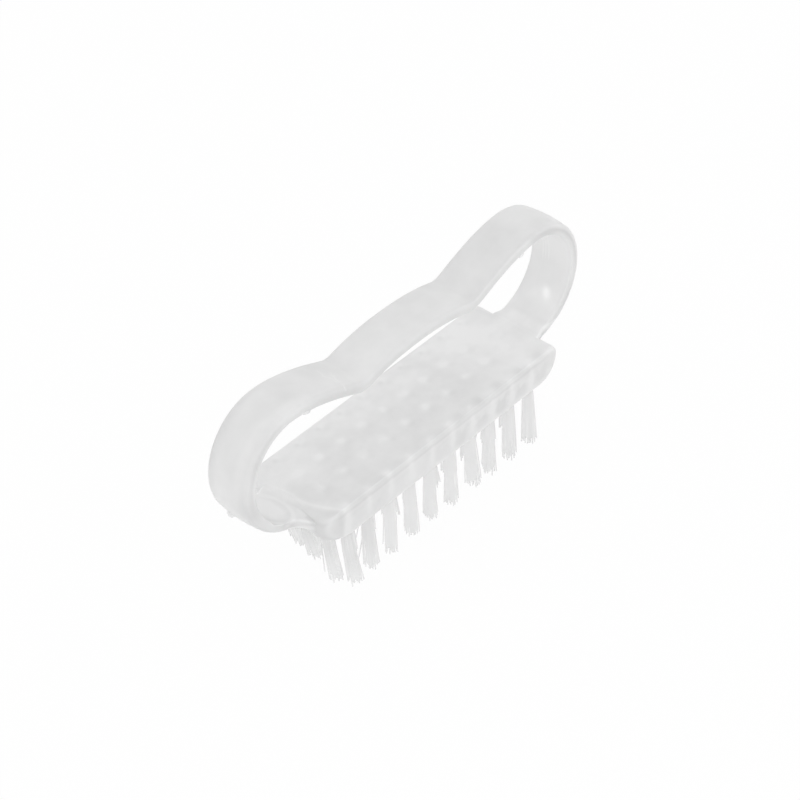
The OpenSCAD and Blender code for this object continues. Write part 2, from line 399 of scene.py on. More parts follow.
def strip_points(sizes):
    """The strip: its section is carried along the crown line, square to it. A point is line + depth * inward
    normal, and -across in y. Near the block each side widens by flare * (1 - way from the block)^2. At the
    left foot a web draws the front side out: y - web * share^4 and z - sink * web * share^4, with share =
    across / half width, and web = width * (1 - way from the block)^2."""
    line = crown_line()
    along = np.empty_like(line)
    along[1:-1] = line[2:] - line[:-2]
    along[0], along[-1] = line[1] - line[0], line[-1] - line[-2]
    along /= np.linalg.norm(along, axis=1)[:, None]
    underside = line[:, 1] < LOOP_SIDE[1]
    past = np.clip(np.abs(line[:, 0]) - sizes.block_length / 2, 0, None) / FLARE_REACH
    flare = np.where(underside, FLARE * np.clip(1 - past, 0, None) ** 2, 0)
    section = strip_section(sizes.strip_width / 2 + flare, sizes.strip_thickness)
    across, depth = section[..., 0], section[..., 1]
    near = np.clip(1 - (-line[:, 0] - sizes.block_length / 2) / WEB_REACH, 0, 1)
    web = np.where(underside & (line[:, 0] < 0), WEB_WIDTH * near ** 2, 0)[:, None]
    web = web * np.clip(across / (sizes.strip_width / 2), 0, 1) ** 4
    return np.stack([line[:, None, 0] + along[:, None, 1] * depth, -across - web,
                     line[:, None, 1] - along[:, None, 0] * depth - WEB_SINK * web], axis=-1)


def rounded_outline(half_x, half_y, radius, z, steps=14):
    """Rectangle with rounded corners at height z: each corner point is the corner's centre plus
    r * (cos a, sin a), with r the radius at the left end and half of it at the right end. The straight sides
    are cut into equal runs, the long ones into more."""
    angle = np.linspace(0, np.pi / 2, steps)
    corners = []
    for quadrant, (sx, sy) in enumerate([(1, 1), (-1, 1), (-1, -1), (1, -1)]):
        turn = angle + quadrant * np.pi / 2
        r = radius * (0.5 if sx > 0 else 1)
        corners.append(np.stack([sx * (half_x - r) + r * np.cos(turn),
                                 sy * (half_y - r) + r * np.sin(turn)], axis=-1))
    runs = []
    for k, corner in enumerate(corners):
        following = corners[(k + 1) % 4]
        share = np.linspace(0, 1, 26 if k % 2 == 0 else 9)[1:-1, None]
        runs += [corner, corner[-1] + share * (following[0] - corner[-1])]
    outline = np.concatenate(runs)
    return np.concatenate([outline, np.full((len(outline), 1), z)], axis=1)


def block_points(sizes):
    """The block, ring by ring: its walls follow z = wall * (1 - cos a), inset * (1 - sin a) from the bottom
    up, its top edge z = top - edge * (1 - sin a), inset * (1 - cos a), and one more ring stands a rim's width
    in from the edge on the flat top."""
    half_x, half_y = sizes.block_length / 2, sizes.block_width / 2
    bottom = CROWN_TOP - BLOCK_DROP - sizes.block_thickness
    top = bottom + sizes.block_thickness
    rings = []
    for a in np.linspace(0, np.pi / 2, 15):
        left = 1 - math.sin(a)
        rings.append(rounded_outline(half_x - BOTTOM_INSET[0] * left, half_y - BOTTOM_INSET[1] * left,
                                     CORNER + BOTTOM_CORNER * left,
                                     bottom + (sizes.block_thickness - TOP_EDGE) * (1 - math.cos(a))))
    for a in np.linspace(0, np.pi / 2, 11)[1:]:
        ease = 1 - math.cos(a)
        rings.append(rounded_outline(half_x - TOP_INSET[0] * ease, half_y - TOP_INSET[1] * ease, CORNER,
                                     top - TOP_EDGE * (1 - math.sin(a))))
    rings.append(rounded_outline(half_x - TOP_INSET[0] - TOP_RIM, half_y - TOP_INSET[1] - TOP_RIM,
                                 CORNER - TOP_RIM, top))
    return np.array(rings)


def tuft_pitch(sizes):
    """Distance between neighbouring tufts along the block and across it."""
    return ((sizes.block_length - TUFT_MARGINS[0]) / (COLUMNS - 1),
            (sizes.block_width - TUFT_MARGINS[1]) / (ROWS - 1))


def tuft_places(sizes):
    """Middle of each tuft, as (x, y) of shape (rows, columns, 2): rows count from the front."""
    column_pitch, row_pitch = tuft_pitch(sizes)
    row, column = np.meshgrid(np.arange(ROWS), np.arange(COLUMNS), indexing="ij")
    return np.stack([(column - (COLUMNS - 1) / 2) * column_pitch,
                     (row - (ROWS - 1) / 2) * row_pitch], axis=-1)


def hole_points(sizes, low, high, around=24):
    """The tuft holes: circles of the hole's radius round every tuft's middle, at the two heights."""
    angle = np.linspace(0, 2 * np.pi, around, endpoint=False)
    circle = sizes.hole_diameter / 2 * np.stack([np.cos(angle), np.sin(angle)], axis=-1)
    plan = tuft_places(sizes).reshape(-1, 1, 1, 2) + circle
    plan = np.broadcast_to(plan, (ROWS * COLUMNS, 2, around, 2))
    height = np.broadcast_to(np.array([low, high])[None, :, None, None], plan.shape[:3] + (1,))
    return np.concatenate([plan, height], axis=-1)


def egg_points(centre, half_sizes, tilt=0.0, rings=17, around=32):
    """Closed egg: centre + (a cos u sin v, b sin u sin v, c cos v), leant by a tilt about Y. Its poles are
    small rings, closed by flat faces."""
    pole = 0.03
    u = np.linspace(0, 2 * np.pi, around, endpoint=False)[None, :]
    v = np.linspace(np.pi - pole, pole, rings)[:, None]
    x = half_sizes[0] * np.cos(u) * np.sin(v)
    y = half_sizes[1] * np.sin(u) * np.sin(v)
    z = half_sizes[2] * np.cos(v) + 0 * u
    s, c = math.sin(tilt), math.cos(tilt)
    return np.stack([c * x + s * z, y, c * z - s * x], axis=-1) + np.asarray(centre)


def apply_modifiers(piece):
    """Puts the result of the piece's modifiers into its mesh."""
    shaped = bpy.data.meshes.new_from_object(piece.evaluated_get(bpy.context.evaluated_depsgraph_get()))
    old = piece.data
    piece.modifiers.clear()
    piece.data = shaped
    bpy.data.meshes.remove(old)


def combine(piece, other, operation):
    """Joins another closed mesh to the piece, or cuts it out, and deletes the other."""
    modifier = piece.modifiers.new(operation.title(), "BOOLEAN")
    modifier.operation = operation
    modifier.object = other
    modifier.solver = "EXACT"
    apply_modifiers(piece)
    bpy.data.objects.remove(other)


# Materials

# Paint in the plastic is placed in millimetres. Middle and reach of the right loop, as (x, z), to the middle
# of the strip; the colour of the painted shade at the shaded corner, and that of the painted light where light
# comes through and of the painted highlight
LOOP_MIDDLE, LOOP_REACH = (25.2, 24.5), (8.8, 9.6)
CORNER_SHADE, SHINE = (0.58, 0.58, 0.58), (0.98, 0.98, 0.98)


class Value:
    """A number in a material: arithmetic on it adds Math nodes."""

    def __init__(self, graph, socket):
        self.graph, self.socket = graph, socket

    def math(self, operation, *others):
        return self.graph.node("ShaderNodeMath", {"operation": operation}, dict(enumerate((self, *others))))

    def __add__(self, other):
        return self.math("ADD", other)

    __radd__ = __add__

    def __sub__(self, other):
        return self.math("SUBTRACT", other)

    def __rsub__(self, other):
        return self.math("MULTIPLY_ADD", -1, other)

    def __mul__(self, other):
        return self.math("MULTIPLY", other)

    __rmul__ = __mul__

    def __truediv__(self, other):
        return self.math("DIVIDE", other)

    def __pow__(self, other):
        return self.math("POWER", other)

    def __neg__(self):
        return self * -1

    def __abs__(self):
        return self.math("ABSOLUTE")

    def hill(self, width):
        """Soft hill round 0: exp(-(value / width)^2)."""
        share = self / width
        return (share * share * -1).math("EXPONENT")

    def rise(self, start, end):
        """From 0 at start to 1 at end, eased at both."""
        return self.graph.node("ShaderNodeMapRange", {"interpolation_type": "SMOOTHSTEP"},
                               {0: self, 1: start, 2: end, 3: 0.0, 4: 1.0})

    def nearest(self, pitch, count):
        """How far the value is from the nearest of count places that lie a pitch apart round 0."""
        middle = (count - 1) / 2
        place = (self / pitch + middle).math("ROUND").math("MAXIMUM", 0).math("MINIMUM", count - 1)
        return self - (place - middle) * pitch


class Graph:
    """The node tree of a material or of the world."""

    def __init__(self, owner):
        owner.use_nodes = True
        self.tree = owner.node_tree
        self.tree.nodes.clear()

    def node(self, kind, settings=None, inputs=None, output=0):
        """Adds a node of a kind, with its settings first and then its inputs, which are numbers, colours or
        other nodes' values, and returns one of its outputs."""
        made = self.tree.nodes.new(kind)
        for name, setting in (settings or {}).items():
            setattr(made, name, setting)
        for name, given in (inputs or {}).items():
            if isinstance(given, Value):
                self.tree.links.new(given.socket, made.inputs[name])
            else:
                made.inputs[name].default_value = given
        return Value(self, made.outputs[output]) if made.outputs else made

    def place(self):
        """Where a point of the surface is, in the object's own axes."""
        return self.node("ShaderNodeTexCoord", output="Object")

    def noise(self, where, scale, detail, roughness):
        """Noise of a scale in waves a metre, from 0 to 1."""
        return self.node("ShaderNodeTexNoise", {"noise_dimensions": "3D"},
                         {"Vector": where, "Scale": scale, "Detail": detail, "Roughness": roughness})

    def millimetres(self, where):
        """The x, y and z of a place, in millimetres."""
        split = self.node("ShaderNodeSeparateXYZ", None, {0: where}).socket.node
        return [Value(self, split.outputs[k]) * 1000 for k in range(3)]

    def mix_color(self, share, first, second):
        """Mixes two colours by a share."""
        return self.node("ShaderNodeMix", {"data_type": "RGBA"},
                         {0: share, 6: rgba(first), 7: rgba(second)}, output=2)

    def surface(self, inputs):
        """Gives the material one physical surface with these inputs."""
        shader = self.node("ShaderNodeBsdfPrincipled", None, inputs)
        self.node("ShaderNodeOutputMaterial", None, {"Surface": shader})


def rgba(color):
    """Colour with full alpha, or a node's colour as it is."""
    return color if isinstance(color, Value) else (*color, 1)


def loop_way(x, z):
    """How far out a place is from the middle of the right loop: 1 on the ellipse through the middle of the
    strip, and more outside it."""
    out, up = (x - LOOP_MIDDLE[0]) / LOOP_REACH[0], (z - LOOP_MIDDLE[1]) / LOOP_REACH[1]
    return (out * out + up * up) ** 0.5


def corner_curve(x, y):
    """How far out a place is at the left end, counted by the curve -x + 0.045 y^2 round its corners."""
    return y * y * 0.045 - x


def tuft_marks(sizes, x, y, z, patchy):
    """Light and shade of the tuft holes that show through the block, painted as a change of paleness. On its top
    each tuft is a pale dot with a painted shadow on one side; the front row's dots stand at the edge, with dark
    patches of painted shade between them, and the rear row's have a dark middle. Painted light makes the top
    paler towards the rear and the right end, and a painted shade lies at its front edge on the right. On the long
    walls each hole is a pale upright bar with a notched dark patch of painted shade beside it, and dark lines of
    painted shade run along the edge and under it."""
    column_pitch, row_pitch = (pitch / mm for pitch in tuft_pitch(sizes))
    dx, dy = x.nearest(column_pitch, COLUMNS), y.nearest(row_pitch, ROWS)
    front, rear, right = 1 - y.rise(-5, -4.2), y.rise(4, 5), x.rise(-6, 9)

    top = z.rise(15.2, 15.6) * (1 - z.rise(16.0, 16.3))
    # Painted light of the tufts under the top, a painted shadow beside each dot, painted shade between the front row's
    # dots
    dot = (dx + front * 0.6).hill(0.78) * (dy + front * 0.8).hill(0.75)
    beside = (dx - 0.5).hill(0.75) * (dy + 0.9).hill(0.6) * (1 - front)
    between = (dx - 1.5).hill(1.0) * (y + 7.0).hill(0.8) * (right + 0.15)
    eye = (dx + 0.3).hill(0.5) * (dy + 0.1).hill(0.5)
    on_top = dot * (0.42 - rear * 0.12) - beside * 0.2 - eye * rear * 0.5 - between * 0.32
    # Painted light: the top is paler towards the rear and the right end
    glow = y.rise(-3, 5) * 0.22 + x.rise(8, 20) * 0.3 - 0.15
    glow = glow + x.rise(21, 24) * (0.12 - y.rise(-5, 0) * 0.22) + x.rise(24.6, 25.6) * 0.15
    glow = glow - x.rise(18, 22) * y.rise(1.5, 4) * 0.35
    # Painted shade at the top's front edge on the right
    painted_edge_shade = (x - 18.2).hill(2.4) * (z - 15.3).hill(0.9) * (-y).rise(6.9, 7.4) * 0.35

    # Painted light of the roots on the long walls, with painted shade in the notched patches between them
    wall = abs(y).rise(7.1, 7.5) * (1 - z.rise(15.1, 15.4))
    bar = (dx + 0.7).hill(0.55) * z.rise(10.5, 13.5) * 0.35 + 0.12
    web = abs((x - 1.25).nearest(column_pitch, COLUMNS))
    notch = z + web.hill(0.4) * 0.55 + (patchy - 0.9) * 1.5
    patch = 1 - (web + (patchy - 0.9) * 1.2).rise(0.6, 1.9)
    patch = patch * (1 - notch.rise(13.4, 14.9)) * z.rise(10.9, 12.2)
    dark = patch * patchy * (right * 0.42 + 0.1) * (1 - x.rise(19, 21) * 0.4)

    # Painted shade along the long walls' top edge and under it, which also damps the lamp's highlight there
    line = (z - 15.15).hill(0.25) * 0.5 + (z - 14.3).hill(0.5) * 0.12
    line = line + (z - 15.75).hill(0.22) * (right * 0.15 + 0.3)
    edge = abs(y).rise(7.25, 7.55) * (1 - (-x).rise(21.5, 23)) * (1 - x.rise(21.5, 23))
    edge = edge * (1 - x.rise(15, 20.5) * 0.5)
    return (on_top * patchy + glow) * top + (bar - dark) * wall - line * edge - painted_edge_shade


def end_marks(x, y, z):
    """Painted light and shade at the block's ends, as a change of paleness. At the left end a painted highlight
    line follows the front corner's curve, a painted pale rim and a pale middle show the bowl in the loop's floor,
    painted light lies as a pale halo between it and the block, and a dark line of painted shade follows the web's
    edge y = -3.95 - 2.3 ((x + 28) / 3)^2. The right loop's floor has painted shade beside the block, and painted
    light where it starts to rise."""
    curve = corner_curve(x, y)
    # Painted highlight along the front corner's curve
    line = (curve - 23.5).hill(0.35) * (1 - z.rise(15.9, 16.3)) * z.rise(15.2, 15.6) * (1 - y.rise(-2, 0))

    # Painted highlight on the bowl's rim, painted light in its middle and in the halo
    along, across = (x + BOWL_PLACE[0] / mm) / (BOWL_REACH[0] / mm), y / (BOWL_REACH[1] / mm)
    ring = (along * along + across * across) ** 0.5
    bowl = (ring - 1.03).hill(0.11) * 0.4 + (1 - ring.rise(0.5, 0.95)) * 0.5
    halo = (x + 24).hill(1.0) * (y + 0.2).hill(2.8) * 0.45
    low = (1 - z.rise(17.5, 19)) * z.rise(15.3, 15.7)

    # Painted shade along the web's edge, in place of its highlight
    flare = ((x + 28) / 3).math("MAXIMUM", 0)
    edge_line_shade = (y + 3.95 + flare * flare * 2.3).hill(0.32) * (-x).rise(24.9, 25.2) * (1 - (-x).rise(28.5, 29.5))
    edge_line_shade = edge_line_shade * z.rise(14.7, 15.0) * (1 - z.rise(16.3, 17.0))

    # Painted shade on the right loop's floor beside the block, and painted light at its foot
    floor = x.rise(24.6, 25) * (1 - abs(y).rise(4.2, 4.6)) * (1 - z.rise(15.9, 16.4)) * z.rise(13.4, 13.9)
    foot = x.rise(24.6, 25.6) * z.rise(15.9, 16.4) * (1 - z.rise(17, 20)) * (1 - abs(y).rise(3.4, 3.8))
    return (bowl + halo) * low + line * 0.25 - floor * 0.1 + foot * 0.14 - edge_line_shade * 0.55


def end_shade(x, y, z):
    """Share of shade at the left end's front corner, outside its curve: less on the end wall, on the front
    and on the top, and none on the strip, its web and the rear half."""
    strip = (-x).rise(24.4, 24.8) * (1 - abs(y).rise(4.2, 4.6)) * z.rise(13.4, 13.9)
    strip = strip.math("MAXIMUM", (-x).rise(25.0, 25.4) * z.rise(12.6, 13.0))
    end_wall = y.rise(-7.0, -5.2) * (1 - z.rise(14.9, 15.3))
    outside = corner_curve(x, y).rise(23.6, 24.6) * (1 - end_wall * 0.75) * (1 - (-y).rise(7.3, 7.9) * 0.45)
    below = (1 - z.rise(15.2, 15.8) * 0.7) * (1 - z.rise(15.9, 16.3))
    return outside * (1 - strip) * below * (1 - y.rise(-2.5, 0))


def loop_light(x, y, z):
    """Share of light that shines through to the inside of the right loop: most in a band half way up."""
    inside = (1 - loop_way(x, z).rise(0.93, 1.0)) * x.rise(25.5, 27) * z.rise(15.9, 16.6)
    by_height = (z - 25).hill(3) * 0.5 - (z - 18.7).hill(1.6) * 0.2 + 0.55
    return inside * by_height * (1 - abs(y).rise(3.5, 3.95))


def edge_bands(x, y, z, way, left, bend):
    """How dark the strip's bands of painted shade are. A dark line of painted shade runs along its edges, wider at
    the left loop's end and high up in the right loop, and painted shade darkens the climb to the right loop on its
    outer face. Painted light makes pale the edges of the hump and of the climb, outside the right loop, on top of
    the left loop in front, at the left valley's front, and low down at both loops' ends."""
    side = abs(y)
    dark = (side - 3.62).hill(0.3) * 0.25 + side.rise(3.75, 3.9) * (0.05 + bend * 0.1)
    dark = dark + left * ((side - 3.1).hill(0.5) * 0.15 - (side - 1.8).hill(0.6) * 0.06)
    dark = dark + (x.rise(10, 14) - x.rise(20, 26) * 1.6) * way.rise(0.98, 1.04) * 0.12
    right_loop = z.rise(26, 31) * 0.35 - way.rise(0.97, 1.03) * 0.7
    dark = dark + side.rise(3.1, 3.8) * x.rise(24, 30) * right_loop
    hump = side.rise(3.3, 3.7) * x.hill(6) * 0.2
    climb = side.rise(3.6, 3.85) * x.rise(6.5, 10) * (1 - x.rise(22, 25)) * 0.38
    left_top = (x + 25.5).hill(3.0) * (-y).rise(1.5, 3) * z.rise(32.5, 33.5) * 0.38
    left_valley = (x + 11.3).hill(2.0) * (y + 2.4).hill(1.6) * 0.25
    low_ends = left * (1 - z.rise(18.5, 24)) + x.rise(32, 33.5) * (1 - z.rise(22, 27))
    return dark - hump - climb - left_top - left_valley - side.rise(3.75, 3.9) * low_ends * 0.3


def strip_marks(x, y, z, wave, spots):
    """Marks on the handle's strip, as a change of paleness: painted shade darkens its bands, painted light makes the
    loops paler inside the ellipse through the middle of the strip and low down outside it, pale flow streaks cross
    the left valley, and three fine lines run up the inside of the right loop."""
    way, left, bend = loop_way(abs(x), z), 1 - x.rise(-26, -22), abs(x).rise(26, 30)
    # Painted light inside the loops and low down outside them
    within = (1 - way.rise(0.93, 1.0)) * (z.rise(20, 29) * 0.45 + 0.1)
    low = way.rise(1.0, 1.07) * (1 - z.rise(25, 31)) * (0.6 - left * ((-y).rise(-1, 3) * 0.25 + 0.3))
    flow = (x + 13.6 + (wave - 0.5) * 5 - y * 0.3).hill(0.35)
    flow = flow + (x + 15.2 + (wave - 0.5) * 7 + y * 0.2).hill(0.3)
    flow = flow * z.rise(28, 29) * spots.rise(0.35, 0.65)
    lines = (y - 1.6).hill(0.1) + (y - 1.1).hill(0.08) + (y - 0.5).hill(0.1)
    lines = lines * x.rise(30.5, 31.5) * (1 - x.rise(33.2, 33.6)) * z.rise(22, 24) * (1 - z.rise(29, 31))
    pale = flow * 0.25 + lines * 0.6 + (within + low) * bend - edge_bands(x, y, z, way, left, bend)
    return pale * z.rise(16.8, 17.8)


def frosted_plastic(sizes):
    """Frosted milky plastic: light wanders inside it, its paleness has slow clouds, small spots and the marks of
    every part, most of them painted light and shade, the block is painted paler as painted light, a painted
    highlight lies at the right loop's foot, and the surface is a fine orange peel."""
    material = bpy.data.materials.new("frosted_plastic")
    graph = Graph(material)
    where = graph.place()
    x, y, z = graph.millimetres(where)
    cloud = graph.noise(where, 190, 3, 0.55)
    spots = graph.noise(where, 620, 2, 0.5)
    grain = graph.noise(where, 2600, 2, 0.6)
    wave = graph.noise(where, 320, 2, 0.5)
    patchy = spots.rise(0.25, 0.7) * 0.6 + 0.6
    block = 1 - z.rise(15.9, 16.4)
    marks = tuft_marks(sizes, x, y, z, patchy) + end_marks(x, y, z) + strip_marks(x, y, z, wave, spots)
    # The block is painted paler, as painted light
    pale = 0.36 + (cloud - 0.5) * 0.9 + (spots - 0.5) * block * 0.35 + block * 0.33 + marks
    pale = pale.math("MAXIMUM", 0).math("MINIMUM", 1)
    # Painted highlight on the right loop's inner face at its foot
    aside = y + 0.9
    painted_highlight = (x - 30.6).hill(1.5) * aside.hill(0.75) * (z - 18.6 - aside * 0.4).hill(0.55)
    color = graph.mix_color(pale, sizes.deep_color, sizes.pale_color)
    # Painted shade at the left end's corner, and painted light where light comes through the right loop
    shade = end_shade(x, y, z)
    color = graph.mix_color(shade * 0.65, color, CORNER_SHADE)
    color = graph.mix_color(loop_light(x, y, z) * 0.35, color, SHINE)
    color = graph.mix_color(painted_highlight, color, SHINE)
    roughness = sizes.roughness + (grain - 0.5) * 0.12 + (cloud - 0.5) * 0.1 + shade * 0.4
    bump = graph.node("ShaderNodeBump", None,
                      {"Strength": 0.25, "Distance": 0.05 * mm, "Height": grain * 0.3 + wave})
    graph.surface({"Base Color": color, "Roughness": roughness, "Normal": bump, "IOR": 1.49,
                   "Subsurface Weight": 1.0, "Subsurface Radius": (1, 1, 1),
                   "Subsurface Scale": sizes.glow_depth})
    return material


def nylon(sizes):
    """Nylon filament: each has a shade of its own and faint streaks along its length, and is milky. Towards the
    right end painted shade makes the filaments a little darker, and the roots of those at the left end are a
    little darker too."""
    material = bpy.data.materials.new("nylon")
    graph = Graph(material)
    where = graph.place()
    along = graph.node("ShaderNodeMapping", None, {"Vector": where, "Scale": (1, 1, 0.12)})
    streak = graph.noise(along, 2400, 2, 0.6)
    shade = graph.node("ShaderNodeAttribute", {"attribute_name": "shade"}, output="Fac")
    shades = [tuple(c * part for c in sizes.color) for part in (1, 0.97, 0.9, 0.82)]
    pale, dull, painted_right_shade, left_roots = shades
    x, _, z = graph.millimetres(where)
    color = graph.mix_color(shade * 0.6 + streak * 0.4, dull, pale)
    # Painted shade towards the right end
    color = graph.mix_color(x.rise(4, 20), color, painted_right_shade)
    color = graph.mix_color((-x).rise(11.5, 16) * z.rise(0, 6), color, left_roots)
    graph.surface({"Base Color": color, "Roughness": 0.3 + streak * 0.15, "IOR": 1.53,
                   "Subsurface Weight": 1.0, "Subsurface Radius": (1, 1, 1), "Subsurface Scale": 0.5 * mm})
    return material


def wire_metal():
    """Drawn steel wire: bright, with fine scratches along it."""
    material = bpy.data.materials.new("drawn_wire")
    graph = Graph(material)
    where = graph.place()
    along = graph.node("ShaderNodeMapping", None, {"Vector": where, "Scale": (0.05, 1, 1)})
    scratch = graph.noise(along, 9000, 2, 0.6)
    bright, dull = (0.75, 0.75, 0.76), (0.6, 0.6, 0.61)
    color = graph.mix_color(scratch, bright, dull)
    graph.surface({"Base Color": color, "Metallic": 1.0, "Roughness": 0.25 + scratch * 0.15})
    return material


# Pieces

class NAILBRUSH_OT_body(Operator):
    """Makes the moulded body: the block, the wave-shaped handle and the blind tuft holes, in one piece"""
    bl_idname = "nailbrush.body"
    bl_label = "Body"

    def execute(self, context):
        sizes = context.scene.nailbrush_body
        plastic = frosted_plastic(sizes)
        strip = strip_points(sizes)
        block = block_points(sizes)
        bottom, top = block[0, 0, 2], block[-1, 0, 2]
        holes = hole_points(sizes, bottom - OVERCUT, top - sizes.hole_floor)
        nubs = np.array([egg_points(*nub) for nub in NUBS])
        piece = add_tubes("moulded_body", block[None], plastic)
        combine(piece, add_tubes("handle", strip[None], plastic), "UNION")
        combine(piece, add_tubes("holes", holes, plastic), "DIFFERENCE")
        combine(piece, add_tubes("bowl", self.bowl()[None], plastic), "DIFFERENCE")
        combine(piece, add_tubes("nubs", nubs, plastic), "UNION")
        piece.data.shade_smooth()
        piece.data.set_sharp_from_angle(angle=math.radians(20))
        piece.visible_shadow = False
        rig.ride(piece, "root")
        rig.replaces(piece, "body")
        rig.slot(piece, "body")
        return {"FINISHED"}

    def bowl(self):
        """The egg that cuts the bowl: its middle stands c - depth over the floor, with c its half height. Its
        half sizes are reach / sqrt(1 - ((c - depth) / c)^2), so its outline on the floor is the reach."""
        over = BOWL_HALF_HEIGHT - BOWL_DEPTH
        wide = BOWL_REACH / math.sqrt(1 - (over / BOWL_HALF_HEIGHT) ** 2)
        s, c = math.sin(BOWL_LEAN), math.cos(BOWL_LEAN)
        return egg_points((s * over - BOWL_PLACE[0], 0, BOWL_PLACE[1] + c * over),
                          (*wide, BOWL_HALF_HEIGHT), BOWL_LEAN, rings=33, around=64)


def filament_paths(sizes, body, row):
    """Middle lines of one row's filaments, of shape (tufts, filaments, rings, 3). Each filament goes up one
    side of the hole, over the wire and down the other side. In the hole its arms stand on a sunflower
    pattern, squeezed to one side of the wire. Below the mouth they spread by 1 + (spread - 1) * share^0.8,
    lean by share^1.3, stray by share^1.6 and bow by sin(pi * share), with share 0 at the mouth and 1 at the
    tips."""
    random = np.random.default_rng(PATH_SEED + row)
    places = tuft_places(body)[row]
    tufts, count = len(places), sizes.per_tuft
    hole = body.hole_diameter / 2
    mouth = sizes.length
    wire_top = mouth + body.block_thickness - body.hole_floor - WIRE_DROP
    start = wire_top - FOLD_DROP
    k = np.arange(count)
    radius = (hole - WALL_GAP * sizes.diameter) * np.sqrt((k + 0.5) / count)
    angle = k * GOLDEN_ANGLE
    arm = np.stack([radius * np.cos(angle),
                    radius * np.abs(np.sin(angle)) * SQUEEZE + WIRE_GAP * hole], axis=-1)
    arm = arm[None] + random.normal(0, ARM_JITTER, (tufts, count, 2))
    other = arm * [1, -1] + random.normal(0, RETURN_JITTER, (tufts, count, 2))
    turn = np.linspace(0, np.pi, 5)[1:-1]
    height = wire_top + 0.5 * sizes.diameter + (arm[..., 1:2] / hole) * FOLD_STACK
    middle = (arm + other)[:, :, None] / 2
    fold = np.concatenate([
        middle + (arm - other)[:, :, None] / 2 * np.cos(turn)[:, None],
        (start + (height - start) * np.sin(turn))[..., None]], axis=-1)

    share = np.array([1, 0.74, 0.48, 0.22, 0.0])
    fall = share[:, None]
    lean = tuft_leans(row, random)[:, None, None]
    sides = []
    for end in (arm, other):
        short = SHORTEST * random.random((tufts, count)) ** 2.6
        reach = (mouth - short)[..., None]
        loose = 1 + LOOSE_EXTRA * (random.random((tufts, count, 1, 1)) < LOOSE_SHARE)
        stray = loose * random.normal(0, STRAY, (tufts, count, 1, 2)) * fall ** 1.6
        bow = random.normal(0, BOW, (tufts, count, 1, 2)) * np.sin(np.pi * fall)
        plan = end[:, :, None] * (1 + (sizes.spread - 1) * fall ** 0.8) + lean * fall ** 1.3 + stray + bow
        down = np.concatenate([plan, (mouth - share * reach)[..., None]], axis=-1)
        neck = np.concatenate([end[:, :, None], np.full((tufts, count, 1, 1), start)], axis=-1)
        sides.append(np.concatenate([down, neck], axis=2))
    path = np.concatenate([sides[0], fold, sides[1][:, :, ::-1]], axis=2)
    path[..., :2] += places[:, None, None]
    side = body.block_width / 2 - sizes.diameter
    path[..., 1] = np.clip(path[..., 1], -side, side)
    path[..., 2] = np.clip(path[..., 2], 0, None)
    return path


def tuft_leans(row, random):
    """How far each tuft of a row leans at its tips, as (x, y): a little at random, the left end's tufts as if
    worn, each by a length of its own, and one tuft of the front row to the right."""
    lean = random.uniform(-1, 1, (COLUMNS, 2)) * LEAN
    if row == 0:
        lean[0], lean[LEANING_TUFT] = WORN_LEANS[0], LEANING_BY
    else:
        lean[0] += WORN_LEANS[row]
    return lean


def filament_tubes(path, radius, sides=4):
    """Square-sided tubes round the paths: each ring is path + radius * (cos a * across + sin a * upright),
    with across square to the path and nearest to X, and upright square to both. The rings at the tips are
    cut level."""
    along = np.gradient(path, axis=2)
    along /= np.linalg.norm(along, axis=-1, keepdims=True)
    across = np.array([1.0, 0, 0]) - along * along[..., :1]
    across /= np.linalg.norm(across, axis=-1, keepdims=True)
    upright = np.cross(along, across)
    angle = np.arange(sides) * 2 * np.pi / sides
    ring = (np.cos(angle)[:, None] * across[..., None, :] + np.sin(angle)[:, None] * upright[..., None, :])
    ring = path[..., None, :] + radius * ring
    ring[..., 0, :, 2] = path[..., 0, None, 2]
    ring[..., -1, :, 2] = path[..., -1, None, 2]
    return ring


class NAILBRUSH_OT_bristles(Operator):
    """Makes the bristles row by row, each a tube folded over the wire of its hole"""
    bl_idname = "nailbrush.bristles"
    bl_label = "Bristles"

    def execute(self, context):
        sizes, body = context.scene.nailbrush_bristles, context.scene.nailbrush_body
        material = nylon(sizes)
        for row in range(ROWS):
            tubes = filament_tubes(filament_paths(sizes, body, row), sizes.diameter * TUBE_CORNER)
            tubes = tubes.reshape(-1, *tubes.shape[2:])
            count, rings, around = tubes.shape[:3]
            piece = add_tubes(f"bristles_row_{row + 1}", tubes, material)
            piece.data.shade_smooth()
            piece.data.set_sharp_from_angle(angle=math.radians(80))
            shade = np.random.default_rng(SHADE_SEED + row).random(count).repeat(rings * around)
            piece.data.attributes.new("shade", "FLOAT", "POINT").data.foreach_set("value", shade)
            piece.visible_shadow = piece.visible_diffuse = False
            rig.ride(piece, "root")
            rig.replaces(piece, *[f"tuft_{row + 1}_{column + 1:02d}" for column in range(COLUMNS)])
            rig.slot(piece, "bristles")
        return {"FINISHED"}


class NAILBRUSH_OT_wires(Operator):
    """Gives the wires that hold the tufts their drawn-metal finish"""
    bl_idname = "nailbrush.wires"
    bl_label = "Anchor wires"

    def execute(self, context):
        metal = wire_metal()
        for row in range(ROWS):
            wires = frame["nodes"][f"anchors_row_{row + 1}"]
            wires.data.materials.clear()
            wires.data.materials.append(metal)
        return {"FINISHED"}


# Stage

# Camera: place, then azimuth, height and roll in degrees, then lens and film width in mm
CAMERA_PLACE = np.array([-185.86, -182.28, 248.53]) * mm
CAMERA_TURN = (-45.437, 41.583, -3.087)
CAMERA_LENS, CAMERA_FILM = 109.2, 36

# Floor: half its side in metres, and its grey where it is lit
FLOOR_HALF = 1.5
FLOOR_GREY = (0.9, 0.9, 0.9)

